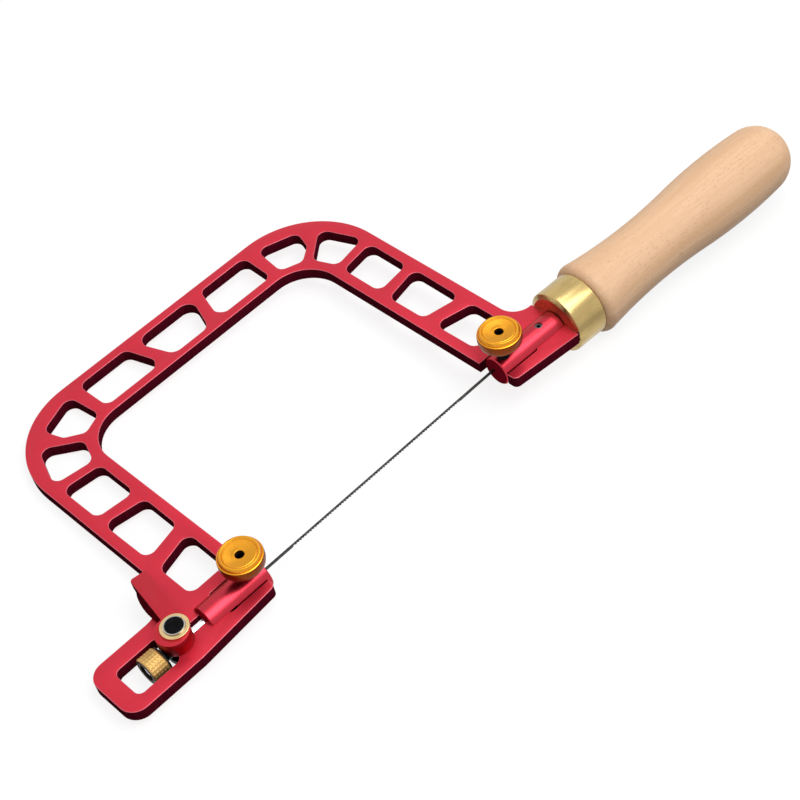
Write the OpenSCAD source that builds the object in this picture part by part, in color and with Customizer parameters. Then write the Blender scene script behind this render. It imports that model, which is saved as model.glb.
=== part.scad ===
// Fret saw with a windowed plate frame, two blade clamps and a cam lever that draws the blade tight.
// Lengths are millimetres and angles are degrees.
// X runs along the blade toward the handle, Y toward the spine, Z out of the plate toward the knobs.
// The origin lies on the blade, half way between the two arms.

/* [Frame plate] */
// Thickness of the plate
plate_t = 5; // [4:0.5:7]
// Depth of the throat from the blade to the spine
throat_depth = 100; // [70:1:160]
// Width of each arm
arm_w = 25.5; // [22:0.5:32]
// Width of the spine
spine_w = 25; // [20:0.5:32]
// Radius of the two outer corners
outer_r = 35; // [20:1:45]
// Radius of the two inner corners
inner_r = 16; // [8:1:24]
// Radius in the corners of the windows
window_r = 3.4; // [1:0.1:4]
// Radius in the corners of the middle window
mid_window_r = 4.5; // [2:0.1:5]

/* [Nose] */
// Length of the nose from the throat to its end
nose_len = 65.6; // [62:0.2:72]
// Height of the nose above the blade line
nose_top = 13.5; // [11:0.5:18]
// Depth of the nose below the blade line
nose_low = 12; // [10:0.5:16]
// Distance from the throat to the bend in the nose's lower edge
bend_back = 35; // [22:0.2:42]
// Depth of the lower lip at the throat
nose_lip = 9.4; // [8:0.2:12]
// Radius of the two nose corners
nose_r = 6.5; // [3:0.5:10]
// Radius at the end of each lip
lip_r = 2.2; // [1:0.1:3]
// Radius where the nose meets the front arm
nose_fillet = 14; // [3:0.5:16]

/* [Slots] */
// Air beside a clamp bar in the wide mouth of its slot
slot_gap = 0.15; // [0.1:0.05:1]
// Length of the wide mouth at the front
mouth_len = 17.5; // [16:0.5:20]
// Radius in the inner corners of a mouth
mouth_r = 1.5; // [0.5:0.1:3]
// Width of the narrow slot that guides the front bar
slot_w = 4.2; // [4:0.1:5]
// Width of the nut chamber
chamber_w = 13.5; // [12.5:0.5:16]
// Length of the nut chamber
chamber_len = 18.7; // [16:0.1:20]
// Plate left at the nose beyond the chamber
chamber_wall = 7.1; // [5:0.1:10]
// Radius in the corners of the chamber
chamber_r = 2.5; // [1:0.1:4]

/* [Clamp bars] */
// Diameter of both clamp bars
bar_d = 11.7; // [10:0.1:13]
// Bevel at the ends of a bar
bar_bevel = 0.4; // [0.2:0.1:1]
// Length of the front bar
front_bar_len = 26.5; // [24:0.5:28]
// Length of the front bar that stands in the throat
front_bar_lead = 1.8; // [0:0.1:3]
// Full round length of a bar, from its blade end
bar_round_len = 15.5; // [14:0.5:16]
// Distance that the rear bar stands back from the throat
rear_bar_back = 2.4; // [1:0.1:4]
// Sliding clearance of a bar on the plate
guide_fit = 0.05; // [0.03:0.01:0.1]
// Air beside each edge of the blade in its slit
jaw_side = 0.3; // [0.2:0.05:0.5]
// Depth of the slit past the held end of the blade
jaw_past = 4.5; // [3:0.1:6]
// Clearance on each flat side of the blade
jaw_fit = 0.05; // [0.02:0.01:0.1]

/* [Grip] */
// Distance of the grip axis below the blade at the end of the rear bar
grip_drop = 1.4; // [0:0.1:3]
// Angle of the grip axis away from the spine
grip_tilt = 2.3; // [0:0.1:5]
// Distance along the grip axis from the rear bar's blade end to the ferrule
shoulder_at = 31; // [28:0.5:36]
// Width of the plate where it meets the ferrule
tang_w = 24.4; // [20:0.2:25]
// Depth of the lower jaw of the plate at the throat
jaw_low = 11.5; // [10:0.1:13]
// Distance from the throat to the end of that jaw
jaw_back = 2.2; // [0:0.1:4]
// Radius between the rear arm and the tang
tang_fillet = 8; // [4:0.5:10]
// Width of the tang at the ferrule
tang_root_w = 14; // [10:0.5:16]
// Width of the tang at its tip
tang_tip_w = 9; // [6:0.5:12]
// Length of the tang inside the handle
tang_len = 46; // [30:1:60]
// Clearance round the tang
tang_fit = 0.1; // [0.05:0.05:0.3]
// Width of the neck that holds the rear bar
neck_w = 6.4; // [5:0.1:7]
// Length of the wide mouth at the rear
rear_mouth_len = 16.5; // [16:0.5:18]
// Length of the neck beyond the mouth
neck_len = 3.8; // [3.4:0.1:5]

/* [Ferrule and handle] */
// Outer diameter of the ferrule
ferrule_d = 25.8; // [24:0.2:28]
// Length of the ferrule
ferrule_len = 14; // [10:0.5:20]
// Wall of the ferrule
ferrule_wall = 1.1; // [0.8:0.1:2]
// Bevel on the front edge of the ferrule
ferrule_bevel = 0.7; // [0.3:0.1:1]
// Gap between the ferrule and the wooden shoulder
shoulder_gap = 0.1; // [0.05:0.05:0.3]
// Radius of the wooden shoulder
shoulder_r = 3.4; // [2:0.1:5]
// Distance along the grip axis to the waist
waist_at = 80; // [70:1:90]
// Diameter at the waist
waist_d = 25.7; // [24:0.1:30]
// Distance along the grip axis to the thickest part
bulb_at = 125; // [110:1:140]
// Diameter at the thickest part
bulb_d = 29.8; // [28:0.1:36]
// Radius of the rounded end
cap_r = 14.1; // [11:0.1:14.5]

/* [Blade] */
// Length of the blade
blade_len = 130; // [110:1:160]
// Length of the blade that is held past the throat at each arm
blade_hold = 7.2; // [6:0.1:9]
// Distance of the blade's middle from the origin
blade_shift = 1.5; // [0:0.1:2]
// Width of the blade
blade_w = 1; // [0.8:0.1:2]
// Thickness of the blade
blade_t = 0.5; // [0.3:0.05:0.6]
// Length of the toothed part
tooth_zone = 84; // [60:1:100]
// Pitch of the teeth
tooth_pitch = 1.2; // [0.8:0.1:2]
// Depth of the teeth
tooth_deep = 0.35; // [0.2:0.05:0.6]

/* [Clamp screws] */
// Distance from the front bar's blade end to its screw
front_screw_back = 5.8; // [4:0.1:7]
// Distance from the rear bar's blade end to its screw
rear_screw_back = 4.2; // [4:0.1:6]
// Diameter of a clamp screw
screw_d = 5; // [4:0.5:6]
// Running clearance of a screw or a pin in its hole
run_fit = 0.05; // [0.02:0.01:0.1]
// Diameter of a pressure pad
pad_d = 4.6; // [3.6:0.1:4.8]
// Thickness of a pressure pad
pad_t = 1.2; // [0.8:0.1:1.6]
// Height of the front knob's underside above its bar's axis
front_knob_base = 11.2; // [8:0.1:16]
// Height of the rear knob's underside above its bar's axis
rear_knob_base = 12.9; // [8:0.1:16]
// Height of a knob
knob_h = 5.9; // [4:0.1:8]
// Diameter of a knob
knob_d = 16.7; // [14:0.1:20]
// Diameter of the hole in a knob's face
knob_hole_d = 3.4; // [3:0.1:4]
// Thickness of the knob above its screw
knob_roof = 1.2; // [0.8:0.1:2]
// Depth of the dish in a knob's face
dish_deep = 0.3; // [0.2:0.1:1]
// Size across the corners of a clamp screw's socket
screw_hex = 2.8; // [2:0.1:3]
// Depth of a clamp screw's socket
screw_hex_deep = 2.4; // [1:0.1:4]
// Distance from the rear bar's blade end to the set screw
set_back = 22.8; // [22:0.1:26]
// Diameter of the set screw
set_d = 3; // [2:0.5:4]
// Distance of the set screw below the top of the bar
set_sink = 0.5; // [0.2:0.1:1]
// Size across the corners of the set screw's socket
set_hex = 1.7; // [1:0.1:2]

/* [Cam lever] */
// Distance from the throat to the pivot post
post_back = 35.2; // [34:0.1:37]
// Diameter of the pivot post
post_d = 6.8; // [6:0.1:8]
// Height of the post's top above the plate's mid-plane
post_top = 10.8; // [10:0.1:12]
// Diameter of the post's foot under the plate
foot_d = 12; // [10:0.5:14]
// Thickness of the post's foot
foot_t = 1.8; // [1:0.1:3]
// Offset of the cam hub from the post
cam_offset = 1.5; // [1:0.1:2]
// Radius of the cam hub
hub_r = 6.3; // [6:0.1:7]
// Gap between the lever and the plate
lever_gap = 0.25; // [0.2:0.05:0.5]
// Thickness of the lever
lever_t = 5.95; // [4:0.05:8]
// Lean of the lever's arm toward the handle
arm_lean = 9.3; // [0:0.1:20]
// Reach of the lever from the post
lever_reach = 27.7; // [22:0.1:34]
// Width of the lever's arm
tip_w = 6.6; // [4:0.1:9]
// Sideways place of the arm's outer side from the post
arm_side = 2; // [0:0.1:4]
// Distance from the post to the lever's elbow
elbow_at = 6; // [4:0.5:10]
// Sideways place of the lever's elbow from the post
elbow_side = 5.2; // [4.4:0.1:8]
// Distance from the post to where the arm is straight
straight_at = 13; // [10:0.5:18]
// Bevel at the lever's tip corners
tip_bevel = 0.8; // [0.3:0.1:1.5]
// Thickness of the lip at the lever's tip, above its rounded underside
tip_t = 0.8; // [0.5:0.1:3]
// How far the arm's outer side swells at its foot
swell = 1.5; // [0.5:0.1:2]
// Length of that swell
swell_len = 18; // [12:0.5:20]
// Distance from the post to the middle of that swell
swell_at = 17.5; // [14:0.5:18]
// Distance of the swell from the lever's underside and from its top
swell_edge = 0.3; // [0.1:0.1:1]
// Diameter of the bush sleeve
bush_d = 8.4; // [8:0.1:9]
// Diameter of the bush flange
flange_d = 10.4; // [9.4:0.1:12]
// Thickness of the bush flange
flange_t = 1; // [0.6:0.1:2]
// Outer diameter of the retaining ring
ring_d = 7.6; // [7.4:0.1:9.4]
// Inner diameter of the retaining ring
ring_bore = 6; // [5:0.1:6.4]
// Thickness of the retaining ring
ring_t = 0.5; // [0.4:0.1:0.8]
// Opening in the retaining ring
ring_mouth = 1.4; // [1:0.1:2.5]

/* [Draw rod and nut] */
// Diameter of the draw rod
rod_d = 3.8; // [3:0.1:3.9]
// Diameter of the rod's tail in the front bar
tail_d = 3; // [2.5:0.1:3.2]
// Depth of the rod's tail in the front bar
tail_in = 12; // [8:0.5:14]
// Clearance of the rod where it only slides
rod_fit = 0.1; // [0.05:0.01:0.2]
// Gap between the cam hub and the washer
cam_gap = 0.3; // [0.2:0.05:0.5]
// Diameter of the thrust washer
washer_d = 10; // [8:0.5:11]
// Thickness of the thrust washer
washer_t = 0.6; // [0.4:0.1:1]
// Diameter of the nut over its ridges
nut_d = 11; // [10:0.2:12]
// Length of the nut
nut_len = 6.8; // [5:0.1:7.4]
// Distance of the rod's end inside the nut's outer face
rod_sink = 0.6; // [0.1:0.1:1]
// Depth of the nut's ridges
ridge_deep = 0.3; // [0.1:0.05:0.5]
// Count of the nut's ridges
ridges = 26; // [18:1:60]
// Diameter of the recess in the nut's outer face
recess_d = 6.4; // [4:0.1:8]
// Depth of the recess in the nut's outer face
recess_deep = 1.4; // [0.5:0.1:2]

/* [Hidden] */
// Facets asked of a round; every round above twelve stays a true round
smooth = 96;
// Extra length of a cut past the face that it leaves
over = 1;
// How far an arc laps past the sides that it meets, so that the outline closes
lap = 0.002;
// Hexagon
six = 6;

throat_len = blade_len - 2 * blade_hold;
half = throat_len / 2;
nose_end = half + nose_len;
nose_bend = half + bend_back;
post_at = half + post_back;
frame_half = half + arm_w;
frame_top = throat_depth + spine_w;
bar_r = bar_d / 2;
mouth_half = bar_r + slot_gap;
chamber_out = nose_end - chamber_wall;
chamber_in = chamber_out - chamber_len;
front_end = half - front_bar_lead;
front_out = front_end + front_bar_len;
front_screw = front_end + front_screw_back;
grip_at = half + rear_bar_back;
rear_bar_len = shoulder_at - tang_fit;
web_w = slot_w - 2 * guide_fit;
neck_web_w = neck_w - 2 * guide_fit;
bar_cut = plate_t + 2 * guide_fit;
lever_z = plate_t / 2 + lever_gap;
hub_top = lever_z + lever_t;
flange_top = hub_top + flange_t;
ring_z = flange_top + guide_fit;
washer_in = post_at + cam_offset + hub_r + cam_gap;
washer_out = washer_in + washer_t;
nut_in = washer_out + guide_fit;
nut_out = nut_in + nut_len;
rod_end = nut_out - rod_sink;
ferrule_at = shoulder_at;
wood_at = ferrule_at + ferrule_len + shoulder_gap;
flare_at = wood_at + shoulder_r;
waist_r = waist_d / 2;
bulb_r = bulb_d / 2;
spigot_r = ferrule_d / 2 - ferrule_wall;

// One arc radius serves the waist and the bulb, which meet tangent half way between them.
grip_run = bulb_at - waist_at;
grip_rise = bulb_r - waist_r;
grip_arc = (grip_run * grip_run + grip_rise * grip_rise) / (4 * grip_rise);
grip_meet = (waist_at + bulb_at) / 2;
flare_r = waist_r + grip_arc - sqrt(pow(grip_arc, 2) - pow(waist_at - flare_at, 2));
// The rounded end is tangent inside the bulb's arc.
cap_run = sqrt(pow(grip_arc - cap_r, 2) - pow(grip_arc - bulb_r, 2));
cap_at = bulb_at + cap_run;
cap_meet = bulb_at + cap_run * grip_arc / (grip_arc - cap_r);

// Window corners as hand-chosen shares of the frame's half length and of its height.
// They are written for the handle side and mirrored to the nose side.
arm_low_shares = [[0.752, 0.089], [0.945, 0.088], [0.945, 0.224], [0.748, 0.258]];
arm_mid_shares = [[0.748, 0.306], [0.944, 0.277], [0.948, 0.477], [0.746, 0.452]];
arm_high_shares = [[0.749, 0.498], [0.944, 0.512], [0.946, 0.677], [0.749, 0.66]];
corner_low_shares = [[0.754, 0.692], [0.951, 0.714], [0.869, 0.862], [0.707, 0.775]];
corner_high_shares = [[0.563, 0.826], [0.67, 0.797], [0.754, 0.837], [0.789, 0.909], [0.587, 0.959]];
spine_side_shares = [[0.22, 0.831], [0.507, 0.831], [0.513, 0.968], [0.236, 0.968], [0.188, 0.858]];
spine_mid_shares = [[-0.105, 0.827], [0.105, 0.827], [0.178, 0.969], [-0.178, 0.969]];

// Place of a tooth's gullet as a share of the pitch.
tooth_rake_share = 0.4;

// Knob profile as hand-chosen shares of the knob's radius and height, from the neck outward and up.
knob_shares = [[0.9, 0], [0.965, 0.06], [1, 0.32], [1, 0.62], [0.98, 0.74], [0.93, 0.77],
               [0.91, 0.75], [0.9, 0.86], [0.86, 1], [0.77, 1], [0.74, 0.95]];

function unit(v) = v / norm(v);
function at(p, i) = p[(i + len(p)) % len(p)];
function back(p, i) = unit(at(p, i - 1) - p[i]);
function ahead(p, i) = unit(at(p, i + 1) - p[i]);
function half_angle(p, i) = acos(back(p, i) * ahead(p, i)) / 2;
function centre(p, i, r) = p[i] + unit(back(p, i) + ahead(p, i)) * r / sin(half_angle(p, i));
function touch(p, i, r) = r == 0 ? [p[i]]
    : [p[i] + back(p, i) * r / tan(half_angle(p, i)), p[i] + ahead(p, i) * r / tan(half_angle(p, i))];
function grip_point(u, v) = [grip_at + u * cos(grip_tilt) + v * sin(grip_tilt),
                             -grip_drop - u * sin(grip_tilt) + v * cos(grip_tilt)];
function spread(shares) = [for (s = shares) [s[0] * frame_half, s[1] * frame_top]];
function same(r, n) = [for (i = [1:n]) r];

// Convex outline with a true arc of its own radius in every corner; a radius of zero keeps it sharp.
module soft(p, r) {
    polygon([for (i = [0:len(p) - 1]) each touch(p, i, r[i])]);
    for (i = [0:len(p) - 1]) {
        if (r[i] > 0) {
            translate(centre(p, i, r[i])) circle(r = r[i] + lap, $fn = smooth);
        }
    }
}

module on_grip() {
    translate([grip_at, -grip_drop, 0]) rotate([0, 0, -grip_tilt]) children();
}

module along_x() {
    rotate([0, 90, 0]) children();
}

// Round filling of an inner corner that opens toward plus X and plus Y.
module corner_fill(r) {
    difference() {
        translate([-over, -over]) square([r + over, r + over]);
        translate([r, r]) circle(r = r + lap, $fn = smooth);
    }
}

module arch_outline() {
    difference() {
        soft([[-frame_half, 0], [frame_half, 0], [frame_half, frame_top], [-frame_half, frame_top]],
             [0, 0, outer_r, outer_r]);
        soft([[-half, -over], [half, -over], [half, throat_depth], [-half, throat_depth]],
             [0, 0, inner_r, inner_r]);
    }
}

module nose_outline() {
    soft([[-nose_end, nose_top], [-nose_end, -nose_low], [-nose_bend, -nose_low], [-half, -nose_lip],
          [-half, nose_top]], [nose_r, nose_r, 0, lip_r, 0]);
    translate([-frame_half, nose_top]) mirror([1, 0]) corner_fill(nose_fillet);
}

module tang_outline() {
    top = grip_point(shoulder_at, tang_w / 2);
    soft([[half + jaw_back, -jaw_low], grip_point(shoulder_at, -tang_w / 2), top, [half + jaw_back, tang_w / 2]],
         [lip_r, 0, 0, 0]);
    translate([frame_half, top[1]]) corner_fill(tang_fillet);
    polygon([grip_point(shoulder_at - over, -tang_root_w / 2),
             grip_point(shoulder_at + tang_len, -tang_tip_w / 2),
             grip_point(shoulder_at + tang_len, tang_tip_w / 2),
             grip_point(shoulder_at - over, tang_root_w / 2)]);
}

module front_slot() {
    soft([[-half - mouth_len, -mouth_half], [-half + over, -mouth_half], [-half + over, mouth_half],
          [-half - mouth_len, mouth_half]], [mouth_r, 0, 0, mouth_r]);
    translate([-chamber_in - over, -slot_w / 2]) square([chamber_in - half, slot_w]);
    soft([[-chamber_out, -chamber_w / 2], [-chamber_in, -chamber_w / 2], [-chamber_in, chamber_w / 2],
          [-chamber_out, chamber_w / 2]], same(chamber_r, 4));
    translate([-post_at, 0]) circle(d = post_d, $fn = smooth);
}

module neck_outline(w) {
    turn_at = rear_mouth_len + neck_len - neck_w / 2;
    translate([bar_round_len - over, -w / 2]) square([turn_at - bar_round_len + over, w]);
    translate([turn_at, 0]) circle(r = w / 2 + lap, $fn = smooth);
}

module rear_slot() {
    start = -2 * rear_bar_back;
    translate([grip_at, -grip_drop]) rotate(-grip_tilt) {
        soft([[start, -mouth_half], [rear_mouth_len, -mouth_half], [rear_mouth_len, mouth_half],
              [start, mouth_half]], [0, mouth_r, mouth_r, 0]);
        neck_outline(neck_w);
    }
}

module window(shares, r) {
    soft(spread(shares), same(r, len(shares)));
}

module windows() {
    for (side = [0, 1]) {
        mirror([side, 0]) {
            window(arm_low_shares, window_r);
            window(arm_mid_shares, window_r);
            window(arm_high_shares, window_r);
            window(corner_low_shares, window_r);
            window(corner_high_shares, window_r);
            window(spine_side_shares, window_r);
        }
    }
    window(spine_mid_shares, mid_window_r);
}

module frame() {
    color("crimson") linear_extrude(height = plate_t, center = true) {
        difference() {
            union() {
                arch_outline();
                nose_outline();
                tang_outline();
            }
            front_slot();
            rear_slot();
            windows();
        }
    }
}

// Cylinder along X from zero with a bevel at both ends.
module bevelled_bar(r, long, bevel) {
    along_x() {
        cylinder(h = bevel, r1 = r - bevel, r2 = r, $fn = smooth);
        translate([0, 0, bevel]) cylinder(h = long - 2 * bevel, r = r, $fn = smooth);
        translate([0, 0, long - bevel]) cylinder(h = bevel, r1 = r, r2 = r - bevel, $fn = smooth);
    }
}

// Slit that runs from the throat past the held end of the blade, in both bars.
module blade_slit() {
    long = blade_len + 2 * jaw_past;
    translate([blade_shift - long / 2, blade_t - blade_w - jaw_side, -blade_t / 2 - jaw_fit])
        cube([long, blade_w + 2 * jaw_side, blade_t + 2 * jaw_fit]);
}

// Threaded hole that takes the pad and the clamp screw, down to the blade's mid-plane.
module screw_hole() {
    cylinder(h = bar_r + over, d = screw_d + 2 * run_fit, $fn = smooth);
}

module rear_clamp_bar() {
    color("crimson") difference() {
        on_grip() difference() {
            bevelled_bar(bar_r, rear_bar_len, bar_bevel);
            linear_extrude(height = bar_cut, center = true) difference() {
                translate([bar_round_len, -bar_d]) square([rear_bar_len, 2 * bar_d]);
                neck_outline(neck_web_w);
            }
            translate([set_back, 0, 0]) cylinder(h = bar_r + over, d = set_d, $fn = smooth);
        }
        on_rear_screw() screw_hole();
        blade_slit();
    }
}

module rear_set_screw() {
    top = bar_r - set_sink;
    color("black") on_grip() translate([set_back, 0, 0]) difference() {
        translate([0, 0, plate_t / 2]) cylinder(h = top - plate_t / 2, d = set_d, $fn = smooth);
        translate([0, 0, plate_t / 2 + set_hex / 2]) cylinder(h = top, d = set_hex, $fn = six);
    }
}

module front_clamp_bar() {
    color("crimson") difference() {
        translate([-front_end, 0, 0]) mirror([1, 0, 0]) difference() {
            bevelled_bar(bar_r, front_bar_len, bar_bevel);
            linear_extrude(height = bar_cut, center = true) difference() {
                translate([bar_round_len, -bar_d]) square([front_bar_len, 2 * bar_d]);
                translate([bar_round_len - over, -web_w / 2]) square([front_bar_len, web_w]);
            }
            translate([front_bar_len - tail_in, 0, 0])
                along_x() cylinder(h = tail_in + over, d = tail_d, $fn = smooth);
        }
        on_front_screw() screw_hole();
        blade_slit();
    }
}

module ferrule() {
    r = ferrule_d / 2;
    color("goldenrod") on_grip() translate([ferrule_at, 0, 0]) difference() {
        along_x() {
            cylinder(h = ferrule_bevel, r1 = r - ferrule_bevel, r2 = r, $fn = smooth);
            translate([0, 0, ferrule_bevel]) cylinder(h = ferrule_len - ferrule_bevel, r = r, $fn = smooth);
        }
        translate([ferrule_wall, 0, 0]) along_x() cylinder(h = ferrule_len, r = spigot_r, $fn = smooth);
        tang_hole(-ferrule_at);
    }
}

// Space for the tang with its clearance, moved along the grip axis.
module tang_hole(shift) {
    w0 = tang_root_w / 2 + tang_fit;
    w1 = tang_tip_w / 2 + tang_fit;
    u0 = shoulder_at - over + shift;
    u1 = shoulder_at + tang_len + tang_fit + shift;
    linear_extrude(height = plate_t + 2 * tang_fit, center = true)
        polygon([[u0, -w0], [u1, -w1], [u1, w1], [u0, w0]]);
}

// Half section of the wooden handle: X is the radius and Y runs along the grip axis.
module handle_section() {
    spigot_at = ferrule_at + ferrule_wall;
    translate([0, spigot_at]) square([spigot_r, flare_at - spigot_at]);
    translate([0, spigot_at]) square([spigot_r / 2, cap_at + cap_r / 2 - spigot_at]);
    translate([0, wood_at]) square([flare_r - shoulder_r, shoulder_r]);
    intersection() {
        translate([flare_r - shoulder_r, flare_at]) circle(r = shoulder_r, $fn = smooth);
        translate([0, wood_at]) square([flare_r, shoulder_r]);
    }
    difference() {
        translate([0, flare_at]) square([flare_r, grip_meet - flare_at]);
        translate([waist_r + grip_arc, waist_at]) circle(r = grip_arc - lap, $fn = smooth);
    }
    intersection() {
        translate([0, grip_meet]) square([bulb_r, cap_meet - grip_meet]);
        translate([bulb_r - grip_arc, bulb_at]) circle(r = grip_arc, $fn = smooth);
    }
    intersection() {
        translate([0, cap_meet]) square([cap_r, cap_r]);
        translate([0, cap_at]) circle(r = cap_r + lap, $fn = smooth);
    }
}

module handle() {
    color("burlywood") on_grip() difference() {
        along_x() rotate_extrude($fn = smooth) handle_section();
        tang_hole(0);
    }
}

module blade() {
    teeth = floor(tooth_zone / tooth_pitch);
    start = -teeth * tooth_pitch / 2;
    tip = -blade_w + blade_t;
    gullet = tip + tooth_deep;
    color("dimgray") linear_extrude(height = blade_t, center = true) polygon(concat(
        [[blade_shift + blade_len / 2, tip], [blade_shift + blade_len / 2, blade_t],
         [blade_shift - blade_len / 2, blade_t], [blade_shift - blade_len / 2, tip]],
        [for (i = [0:teeth - 1]) each
            [[start + i * tooth_pitch, tip], [start + (i + tooth_rake_share) * tooth_pitch, gullet]]],
        [[start + teeth * tooth_pitch, tip]]));
}

module pivot_post() {
    color("black") translate([-post_at, 0, 0]) difference() {
        union() {
            translate([0, 0, -plate_t / 2])
                cylinder(h = post_top + plate_t / 2 - bar_bevel, d = post_d, $fn = smooth);
            translate([0, 0, post_top - bar_bevel])
                cylinder(h = bar_bevel, d1 = post_d, d2 = post_d - 2 * bar_bevel, $fn = smooth);
            translate([0, 0, -plate_t / 2 - foot_t]) cylinder(h = foot_t, d = foot_d, $fn = smooth);
        }
        translate([-post_d, 0, 0]) along_x() cylinder(h = 2 * post_d, d = rod_d + 2 * rod_fit, $fn = smooth);
        translate([0, 0, ring_z]) difference() {
            cylinder(h = ring_t, d = post_d + over, $fn = smooth);
            cylinder(h = ring_t, d = ring_bore, $fn = smooth);
        }
    }
}

module retaining_ring() {
    color("silver") translate([-post_at, 0, ring_z]) difference() {
        cylinder(h = ring_t, d = ring_d, $fn = smooth);
        translate([0, 0, -over]) cylinder(h = ring_t + 2 * over, d = ring_bore, $fn = smooth);
        translate([0, -ring_mouth / 2, -over]) cube([ring_d, ring_mouth, ring_t + 2 * over]);
    }
}

module lever_outline() {
    tip_far = tip_w - arm_side;
    translate([-cam_offset, 0]) circle(r = hub_r, $fn = smooth);
    rotate(-arm_lean)
        polygon([[-arm_side, 0], [hub_r - cam_offset - over, 0], [elbow_side, elbow_at],
                 [tip_far, straight_at], [tip_far, lever_reach - tip_bevel],
                 [tip_far - tip_bevel, lever_reach], [tip_bevel - arm_side, lever_reach],
                 [-arm_side, lever_reach - tip_bevel]]);
}

// Swell of the arm's outer side: part of a wide cone that goes into the side below the top.
module lever_swell() {
    arc = (swell_len * swell_len / 4 + swell * swell) / (2 * swell);
    rotate([0, 0, -arm_lean]) intersection() {
        translate([arc - swell - arm_side, swell_at, swell_edge])
            cylinder(h = lever_t - 2 * swell_edge, r1 = arc, r2 = arc - swell - swell_edge, $fn = smooth);
        translate([-arm_side - 2 * swell, 0, 0]) cube([2 * swell + over, lever_reach, lever_t]);
    }
}

module tension_lever() {
    color("firebrick") translate([-post_at, 0, lever_z]) difference() {
        union() {
            linear_extrude(height = lever_t) lever_outline();
            lever_swell();
        }
        rotate([0, 0, -arm_lean]) translate([-hub_r, lever_reach, 0]) rotate([90, 0, 90])
            linear_extrude(height = 2 * hub_r) mirror([1, 0]) corner_fill(lever_t - tip_t);
        translate([0, 0, -over]) cylinder(h = lever_t + 2 * over, d = bush_d, $fn = smooth);
    }
}

module lever_bush() {
    color("gold") translate([-post_at, 0, 0]) difference() {
        union() {
            translate([0, 0, lever_z]) cylinder(h = lever_t, d = bush_d, $fn = smooth);
            translate([0, 0, hub_top]) cylinder(h = flange_t, d = flange_d, $fn = smooth);
        }
        translate([0, 0, lever_z - over])
            cylinder(h = lever_t + flange_t + 2 * over, d = post_d + 2 * run_fit, $fn = smooth);
    }
}

module thrust_washer() {
    color("gray") translate([-washer_out, 0, 0]) along_x() difference() {
        cylinder(h = washer_t, d = washer_d, $fn = smooth);
        translate([0, 0, -over]) cylinder(h = washer_t + 2 * over, d = rod_d + 2 * rod_fit, $fn = smooth);
    }
}

module tension_nut() {
    step = 360 / ridges;
    tip = nut_d / 2;
    root = tip - ridge_deep;
    color("goldenrod") translate([-nut_out, 0, 0]) along_x() difference() {
        linear_extrude(height = nut_len) polygon([for (i = [0:ridges - 1])
            each [[tip * cos(i * step), tip * sin(i * step)],
                  [root * cos((i + 0.5) * step), root * sin((i + 0.5) * step)]]]);
        translate([0, 0, -over]) cylinder(h = nut_len + 2 * over, d = rod_d + 2 * run_fit, $fn = smooth);
        translate([0, 0, -over]) cylinder(h = recess_deep + over, d = recess_d, $fn = smooth);
    }
}

module draw_rod() {
    body = rod_end - front_out;
    color("silver") translate([-rod_end, 0, 0]) {
        bevelled_bar(rod_d / 2, body, bar_bevel);
        translate([body - over, 0, 0]) along_x() cylinder(h = tail_in + over, d = tail_d, $fn = smooth);
    }
}

// Clamp parts stand on Z with the blade's mid-plane at zero.
module pressure_pad() {
    translate([0, 0, blade_t / 2 + jaw_fit]) cylinder(h = pad_t, d = pad_d, $fn = smooth);
}

module clamp_screw(base) {
    foot = blade_t / 2 + jaw_fit + pad_t + guide_fit;
    top = base + knob_h * at(knob_shares, -1)[1] - dish_deep - knob_roof;
    difference() {
        translate([0, 0, foot]) cylinder(h = top - foot, d = screw_d, $fn = smooth);
        translate([0, 0, top - screw_hex_deep]) cylinder(h = screw_hex_deep + over, d = screw_hex, $fn = six);
    }
}

module thumb_knob(base) {
    rim = at(knob_shares, -1);
    floor_z = base + knob_h * rim[1] - dish_deep;
    profile = [for (s = knob_shares) [s[0] * knob_d / 2, base + s[1] * knob_h]];
    difference() {
        rotate_extrude($fn = smooth) polygon(concat([[0, base]], profile, [[0, floor_z]]));
        translate([0, 0, base - over])
            cylinder(h = floor_z - knob_roof - base + over, d = screw_d, $fn = smooth);
        translate([0, 0, base]) cylinder(h = knob_h, d = knob_hole_d, $fn = smooth);
    }
}

module on_front_screw() {
    translate([-front_screw, 0, 0]) children();
}

module on_rear_screw() {
    on_grip() translate([rear_screw_back, 0, 0]) children();
}

module rear_pressure_pad() {
    color("gray") on_rear_screw() pressure_pad();
}

module rear_clamp_screw() {
    color("black") on_rear_screw() clamp_screw(rear_knob_base);
}

module rear_thumb_knob() {
    color("orange") on_rear_screw() thumb_knob(rear_knob_base);
}

module front_pressure_pad() {
    color("gray") on_front_screw() pressure_pad();
}

module front_clamp_screw() {
    color("black") on_front_screw() clamp_screw(front_knob_base);
}

module front_thumb_knob() {
    color("orange") on_front_screw() thumb_knob(front_knob_base);
}

frame();
ferrule();
handle();
rear_clamp_bar();
rear_set_screw();
blade();
pivot_post();
retaining_ring();
rear_pressure_pad();
rear_clamp_screw();
rear_thumb_knob();
tension_lever();
lever_bush();
thrust_washer();
tension_nut();
front_clamp_bar();
draw_rod();
front_pressure_pad();
front_clamp_screw();
front_thumb_knob();
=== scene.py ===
"""Fret saw: the visible pieces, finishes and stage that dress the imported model."""

import math

import bmesh
import bpy
from bpy.props import FloatProperty, FloatVectorProperty, IntProperty, PointerProperty
from bpy.types import Operator, Panel, PropertyGroup
from mathutils import Matrix, Vector


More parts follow.
